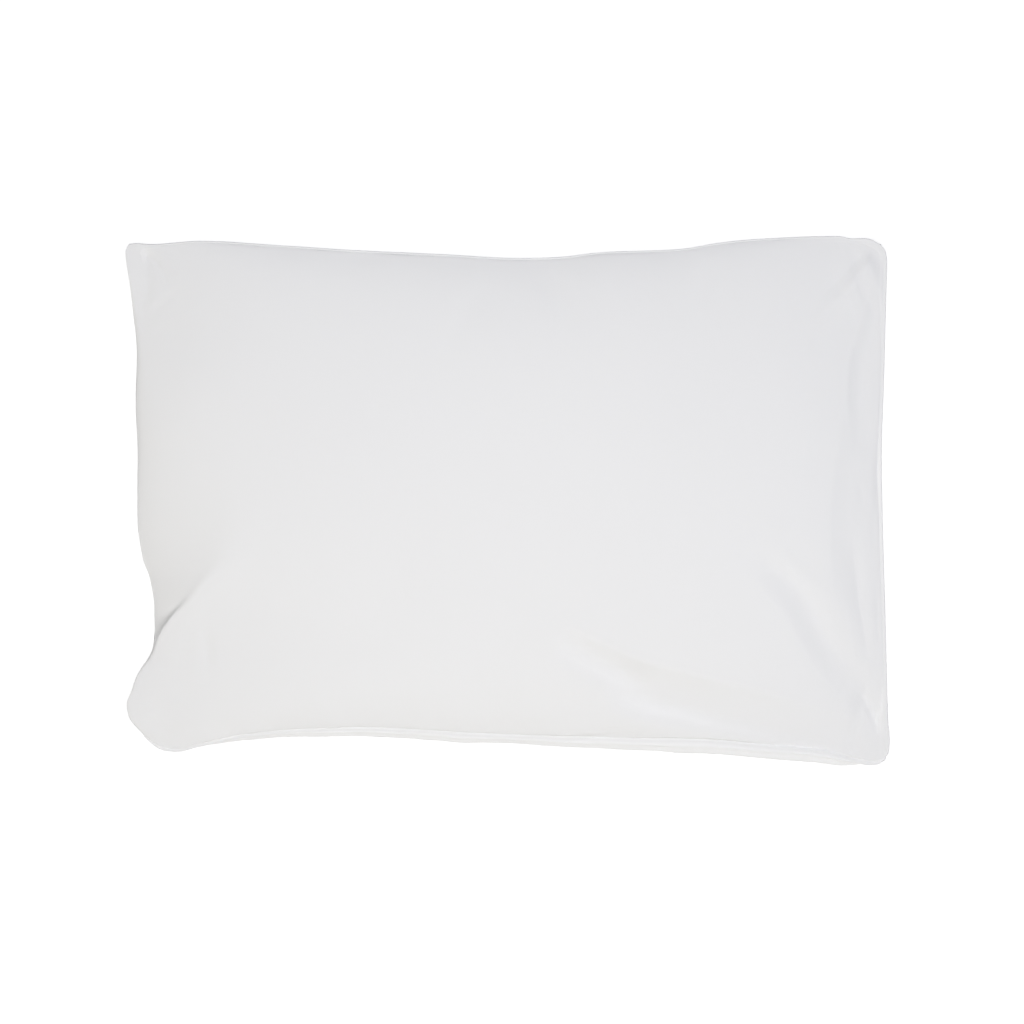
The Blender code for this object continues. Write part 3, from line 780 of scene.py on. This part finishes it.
def overhang(grid, front_rows):
    """Rolls the edge of the lower corner over the end that dives beside it."""
    points = grid[:front_rows].reshape(-1, 3)
    share, away, heading = on_line(points[:, :2], RIDGE[:, [1, 0]])
    size = np.interp(share, shares(RIDGE[:, [1, 0]]), RIDGE[:, 3]) / RIDGE[:, 3].max()
    left = np.stack([-heading[:, 1], heading[:, 0]], axis=1)
    crest = np.exp(-(((away + 1.5) / 4.5) ** 2))
    foot = np.exp(-(((away - 6.0) / 4.0) ** 2))
    points[:, :2] += left * ((crest - 0.6 * foot) * size * TUCK_OVERHANG)[:, None]
    grid[:front_rows] = points.reshape(front_rows, -1, 3)


def spread_over(weights_along, weights_across, shape):
    return np.stack(
        [weights_along @ shape[..., c] @ weights_across.T for c in range(3)], axis=-1
    )


def pillowcase():
    along, across, slit_at = fine_places()
    places = np.concatenate([-along[:0:-1], along])
    grid = around(along, across, front_at)
    front_rows = len(along)
    step = settled(starting_shape())
    rows, columns = step.shape[:2]
    grid += spread_over(
        spline_weights(rows, (places + FLAT_LENGTH) / CELL),
        spline_weights(columns, across / CELL),
        step,
    )
    overhang(grid, front_rows)
    sewn_lip(grid, places, across)

    normal = normals_of(grid)
    edge = sewn_edge_heights(places, across)
    resting = soft_step(grid[..., 2] / 8.0)
    slack = 0.5 * wander_field(places, across, 34.0, 5) + 0.16 * wander_field(
        places, across, 15.0, 6
    )
    to_side = np.minimum(across, FLAT_WIDTH - across)[None, :]
    to_end = (FLAT_LENGTH - np.abs(places))[:, None]
    slack *= soft_step(np.minimum(to_side, to_end) / 8.0)
    grid = grid + normal * ((edge + slack) * resting)[..., None]

    # The mouth: the front panel goes in behind the hem of the back panel.
    first, last = MOUTH_ENDS
    open_here = soft_step((across - first) / 22.0) * soft_step((last - across) / 22.0)
    base, out = grid.copy(), normals_of(grid)
    centre = front_rows - 1
    hem_end = MOUTH + HEM
    wave = 1.0 + 0.35 * wander(across, 26.0, 41)
    for k in range(len(along)):
        row, place = centre + k, along[k]
        if slit_at <= k <= slit_at + 3:
            part = k - slit_at
            under = place + MOUTH_UNDER * (part in (1, 2)) * open_here
            below = np.clip(np.searchsorted(along, under) - 1, 0, len(along) - 2)
            part_way = ((under - along[below]) / (along[below + 1] - along[below]))[:, None]
            column = np.arange(len(across))
            there = (1 - part_way) * base[centre + below, column] + part_way * base[
                centre + below + 1, column
            ]
            moved = base[row] + open_here[:, None] * (there - base[row]) * (part in (1, 2))
            lift = (0.0, -2.2, -1.3, HEM_RAISE)[part]
            grid[row] = moved + out[row] * (lift * open_here * wave)[:, None]
        elif place > MOUTH:
            thick = HEM_RAISE * soft_step((hem_end + 1.0 - place) / 2.2)
            groove = -0.35 * math.exp(-(((place - hem_end + 1.8) / 0.7) ** 2))
            lip = 0.9 * math.exp(-(place - MOUTH) / 5.0)
            grid[row] = base[row] + out[row] * (
                (thick + groove + lip * 0.6 * wave) * open_here
            )[:, None]
        elif place > 0:
            dive = -1.6 * math.exp(-(MOUTH - place) / 4.0)
            grid[row] = base[row] + out[row] * (dive * open_here)[:, None]

    # One place for the two panels where they are sewn to each other.
    for row in range(front_rows):
        twin = len(places) - 1 - row
        for column in (0, -1):
            middle = (base[row, column] + base[twin, column]) / 2
            grid[row, column] = grid[twin, column] = middle
    grid[0] = grid[-1] = (grid[0] + grid[-1]) / 2
    grid[..., 2] = np.maximum(grid[..., 2], 0.0)
    return grid, places, across, open_here


def closed_mesh(grid, places, across):
    rows, columns = grid.shape[:2]
    number = np.arange(rows * columns).reshape(rows, columns)
    half = (rows - 1) // 2
    for i in range(half + 1, rows):
        number[i, 0], number[i, -1] = number[2 * half - i, 0], number[2 * half - i, -1]
    number[-1] = number[0]
    used, compact = np.unique(number, return_inverse=True)
    compact = compact.reshape(number.shape)
    low, high = grid.reshape(-1, 3).min(axis=0), grid.reshape(-1, 3).max(axis=0)
    box_low, box_high = (np.array(c) / MM for c in CAD_BOX)
    shift = np.append(((box_low + box_high) / 2 - (low + high) / 2)[:2], -low[2])
    points = (grid.reshape(-1, 3)[used] + shift) * MM
    quads = np.stack(
        [compact[:-1, :-1], compact[1:, :-1], compact[1:, 1:], compact[:-1, 1:]], axis=-1
    ).reshape(-1, 4)
    mesh = bpy.data.meshes.new("case_cloth")
    mesh.from_pydata(points.tolist(), [], quads.tolist())
    mesh.validate()
    mesh.update()
    mesh.shade_smooth()
    cut = np.stack(
        [
            np.repeat(places, columns),
            np.tile(across, rows),
            np.zeros(rows * columns),
        ],
        axis=1,
    )[used]
    cut[:, 0] = np.abs(cut[:, 0])
    layer = mesh.attributes.new("cut_place", "FLOAT_VECTOR", "POINT")
    layer.data.foreach_set("vector", (cut * MM).astype(np.float32).reshape(-1))
    # Painted highlight mask: 1 on the back panel up to 10 mm from the lower seam, fading out by 24
    # mm; it whitens the base colour there.
    painted_strip_highlight = np.zeros((rows, columns))
    distance = seams(places, across)[0][0]
    painted_strip_highlight[places >= 0] = soft_step((24.0 - distance) / 14.0)[places >= 0]
    layer = mesh.attributes.new("painted_strip_highlight", "FLOAT", "POINT")
    layer.data.foreach_set("value", painted_strip_highlight.reshape(-1)[used].astype(np.float32))
    piece = bpy.data.objects.new("case_cloth", mesh)
    bpy.context.scene.collection.objects.link(piece)
    return piece, shift


def volume_sign(mesh):
    mesh.calc_loop_triangles()
    co = np.empty(len(mesh.vertices) * 3)
    mesh.vertices.foreach_get("co", co)
    co = co.reshape(-1, 3)
    tri = np.empty(len(mesh.loop_triangles) * 3, int)
    mesh.loop_triangles.foreach_get("vertices", tri)
    a, b, c = co[tri.reshape(-1, 3).T]
    return float((a * np.cross(b, c)).sum())


def hem_stitches(grid, places, across, open_here, shift):
    """A line of lockstitches along the hem, each one a short thread that dips
    into the cloth at both ends."""
    place = MOUTH + HEM - 1.8
    rows = np.flatnonzero(places > 0)
    row = rows[np.argmin(abs(places[rows] - place))]
    line, out = grid[row] + shift, normals_of(grid)[row]
    inside = open_here > 0.6
    line, out, along = line[inside], out[inside], across[inside]
    mesh = bpy.data.meshes.new("hem_stitches")
    points, faces = [], []
    sides, steps = 6, 5
    spot = along[0]
    while spot + STITCH < along[-1]:
        ends = []
        for k in range(steps + 1):
            at = spot + STITCH * k / steps
            p = np.array([np.interp(at, along, line[:, c]) for c in range(3)])
            n = np.array([np.interp(at, along, out[:, c]) for c in range(3)])
            ends.append((p, n / np.linalg.norm(n), k / steps))
        heading = ends[-1][0] - ends[0][0]
        heading /= np.linalg.norm(heading)
        base = len(points)
        for p, n, t in ends:
            round_off = math.sin(math.pi * min(max(t, 0.06), 0.94)) ** 0.5
            radius = THREAD * (0.35 + 0.65 * round_off)
            lift = -0.25 + 0.5 * round_off
            across_way = np.cross(heading, n)
            for s in range(sides):
                a = 2 * math.pi * s / sides
                points.append(
                    (p + n * (lift + radius * math.sin(a)) + across_way * radius * math.cos(a))
                    * MM
                )
        for k in range(steps):
            for s in range(sides):
                m = (s + 1) % sides
                a, b = base + k * sides, base + (k + 1) * sides
                faces.append((a + s, a + m, b + m, b + s))
        faces.append(tuple(base + s for s in reversed(range(sides))))
        faces.append(tuple(base + steps * sides + s for s in range(sides)))
        spot += STITCH + STITCH_GAP
    mesh.from_pydata([tuple(p) for p in points], [], faces)
    mesh.update()
    mesh.shade_smooth()
    piece = bpy.data.objects.new("hem_stitches", mesh)
    bpy.context.scene.collection.objects.link(piece)
    return piece


# ------------------------------------------------------------------ materials
def node(tree, kind, **values):
    made = tree.nodes.new(kind)
    for key, value in values.items():
        setattr(made, key, value)
    return made


def cotton():
    material = bpy.data.materials.new("white_cotton_percale")
    material.use_nodes = True
    tree = material.node_tree
    link = tree.links.new
    surface = tree.nodes["Principled BSDF"]
    surface.inputs["Roughness"].default_value = 0.86
    surface.inputs["Specular IOR Level"].default_value = 0.22
    surface.inputs["Sheen Weight"].default_value = 0.10
    surface.inputs["Sheen Roughness"].default_value = 0.45
    surface.inputs["Diffuse Roughness"].default_value = 0.6

    cut = node(tree, "ShaderNodeAttribute", attribute_name="cut_place")
    parts = node(tree, "ShaderNodeSeparateXYZ")
    link(cut.outputs["Vector"], parts.inputs[0])

    def maths(operation, a, b=None):
        made = node(tree, "ShaderNodeMath", operation=operation)
        for socket, value in zip(made.inputs, (a, b)):
            if value is None:
                continue
            if isinstance(value, (int, float)):
                socket.default_value = value
            else:
                link(value, socket)
        return made.outputs[0]

    def noise(scale, detail, stretch=(1, 1, 1), rough=0.5):
        spread = node(tree, "ShaderNodeVectorMath", operation="MULTIPLY")
        spread.inputs[1].default_value = stretch
        link(cut.outputs["Vector"], spread.inputs[0])
        made = node(tree, "ShaderNodeTexNoise")
        made.inputs["Scale"].default_value = scale
        made.inputs["Detail"].default_value = detail
        made.inputs["Roughness"].default_value = rough
        link(spread.outputs[0], made.inputs["Vector"])
        return made.outputs["Fac"]

    # Plain weave, 26 threads a centimetre each way.
    turn = 2 * math.pi * 2600 / 2
    uneven_a = maths("MULTIPLY", noise(140.0, 2.0), 2.2)
    uneven_b = maths("MULTIPLY", noise(150.0, 2.0, (1, 1, 1)), 2.2)
    warp = maths("SINE", maths("ADD", maths("MULTIPLY", parts.outputs[0], turn), uneven_a))
    weft = maths("SINE", maths("ADD", maths("MULTIPLY", parts.outputs[1], turn), uneven_b))
    weave = maths("MULTIPLY", warp, weft)
    # Thicker and thinner threads show as faint lines both ways.
    slub_warp = noise(900.0, 2.0, (1.0, 0.03, 1.0), 0.6)
    slub_weft = noise(900.0, 2.0, (0.03, 1.0, 1.0), 0.6)
    slubs = maths("ADD", slub_warp, slub_weft)
    crumple = noise(60.0, 5.0, rough=0.55)

    height = maths("ADD", maths("MULTIPLY", weave, 0.30), maths("MULTIPLY", slubs, 0.9))
    fine = node(tree, "ShaderNodeBump")
    fine.inputs["Strength"].default_value = 0.35
    fine.inputs["Distance"].default_value = 0.00010
    link(height, fine.inputs["Height"])
    broad = node(tree, "ShaderNodeBump")
    broad.inputs["Strength"].default_value = 0.25
    broad.inputs["Distance"].default_value = 0.0012
    link(crumple, broad.inputs["Height"])
    link(fine.outputs[0], broad.inputs["Normal"])
    link(broad.outputs[0], surface.inputs["Normal"])

    # Nearly even white: a little cooler in places, threads a hair darker.
    tone = node(tree, "ShaderNodeMix", data_type="RGBA", blend_type="MIX")
    tone.inputs["A"].default_value = (0.802, 0.802, 0.804, 1.0)
    tone.inputs["B"].default_value = (0.826, 0.826, 0.826, 1.0)
    amount = maths(
        "ADD",
        maths("MULTIPLY", noise(5.0, 3.0), 0.55),
        maths("ADD", maths("MULTIPLY", slubs, 0.18), maths("MULTIPLY", weave, 0.06)),
    )
    link(amount, tone.inputs["Factor"])
    # Painted highlight: the back panel's strip under the lower seam gets a whiter
    # base colour, standing in for the light that this strip catches as it faces the front.
    # Mixes in the painted highlight on the strip under the lower seam.
    painted_highlight_mix = node(tree, "ShaderNodeMix", data_type="RGBA", blend_type="MIX")
    painted_highlight_mix.inputs["B"].default_value = (0.845, 0.845, 0.845, 1.0)
    link(tone.outputs["Result"], painted_highlight_mix.inputs["A"])
    painted_strip_highlight = node(tree, "ShaderNodeAttribute", attribute_name="painted_strip_highlight")
    link(painted_strip_highlight.outputs["Fac"], painted_highlight_mix.inputs["Factor"])
    link(painted_highlight_mix.outputs["Result"], surface.inputs["Base Color"])
    return material


def thread():
    material = bpy.data.materials.new("white_thread")
    material.use_nodes = True
    tree = material.node_tree
    link = tree.links.new
    surface = tree.nodes["Principled BSDF"]
    surface.inputs["Roughness"].default_value = 0.6
    surface.inputs["Specular IOR Level"].default_value = 0.3
    place = node(tree, "ShaderNodeTexCoord")
    twist = node(tree, "ShaderNodeTexNoise")
    twist.inputs["Scale"].default_value = 2500.0
    link(place.outputs["Object"], twist.inputs["Vector"])
    tone = node(tree, "ShaderNodeMix", data_type="RGBA")
    tone.inputs["A"].default_value = (0.80, 0.80, 0.80, 1.0)
    tone.inputs["B"].default_value = (0.86, 0.86, 0.86, 1.0)
    link(twist.outputs["Fac"], tone.inputs["Factor"])
    link(tone.outputs["Result"], surface.inputs["Base Color"])
    bump = node(tree, "ShaderNodeBump")
    bump.inputs["Strength"].default_value = 0.3
    bump.inputs["Distance"].default_value = 0.00008
    link(twist.outputs["Fac"], bump.inputs["Height"])
    link(bump.outputs[0], surface.inputs["Normal"])
    return material


def plain_floor():
    mesh = bpy.data.meshes.new("floor")
    size = 6.0
    mesh.from_pydata(
        [(-size, -size, 0), (size, -size, 0), (size, size, 0), (-size, size, 0)],
        [],
        [(0, 1, 2, 3)],
    )
    floor = bpy.data.objects.new("floor", mesh)
    floor.location.z = -0.0006
    bpy.context.scene.collection.objects.link(floor)
    material = bpy.data.materials.new("pale_floor")
    material.use_nodes = True
    surface = material.node_tree.nodes["Principled BSDF"]
    surface.inputs["Base Color"].default_value = (0.30, 0.30, 0.30, 1.0)
    surface.inputs["Roughness"].default_value = 0.9
    surface.inputs["Specular IOR Level"].default_value = 0.1
    surface.inputs["Emission Color"].default_value = (1.0, 1.0, 1.0, 1.0)
    surface.inputs["Emission Strength"].default_value = 0.82
    mesh.materials.append(material)


def area_light(name, place, target, size, power, colour=(1, 1, 1)):
    data = bpy.data.lights.new(name, "AREA")
    data.shape, data.size, data.energy, data.color = "DISK", size, power, colour
    lamp = bpy.data.objects.new(name, data)
    lamp.location = place
    lamp.rotation_euler = (
        (Vector(target) - Vector(place)).to_track_quat("-Z", "Y").to_euler()
    )
    bpy.context.scene.collection.objects.link(lamp)


def studio():
    scene = bpy.context.scene
    scene.view_settings.view_transform = "Standard"
    scene.view_settings.look = "None"
    scene.view_settings.exposure = 0.0
    world = bpy.data.worlds.new("studio")
    scene.world = world
    world.use_nodes = True
    world.node_tree.nodes["Background"].inputs["Color"].default_value = (1.0, 1.0, 1.0, 1.0)
    world.node_tree.nodes["Background"].inputs["Strength"].default_value = 0.12
    area_light("key", (-0.11, -0.42, 3.4), (0.0, 0.0, 0.06), 1.85, 97.4, (1.0, 0.986, 0.961))
    area_light("fill", (2.16, 1.8, 3.96), (0.0, 0.0, 0.06), 2.9, 36.0, (0.67, 0.74, 1.0))

    camera = bpy.data.cameras.new("camera")
    height, plane = 7.0, 0.045
    pixel = 0.945 * MM
    camera.sensor_width = 36.0
    camera.lens = 36.0 * (height - plane) / (1024 * pixel)
    camera.clip_start, camera.clip_end = 0.05, 50.0
    eye = bpy.data.objects.new("camera", camera)
    eye.location = ((512 - 507.5) * pixel, -(512 - 501) * pixel, height)
    eye.rotation_euler = (0.0, 0.0, 0.0)
    scene.collection.objects.link(eye)
    scene.camera = eye


RIDGE = tuck_line()
grid, places, across, open_here = pillowcase()
case, shift = closed_mesh(grid, places, across)
if volume_sign(case.data) < 0:
    case.data.flip_normals()
case.data.materials.append(cotton())
stitches = hem_stitches(grid, places, across, open_here, shift)
stitches.data.materials.append(thread())

for piece in (case, stitches):
    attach(piece, "root")
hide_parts("filled_case")

plain_floor()
studio()
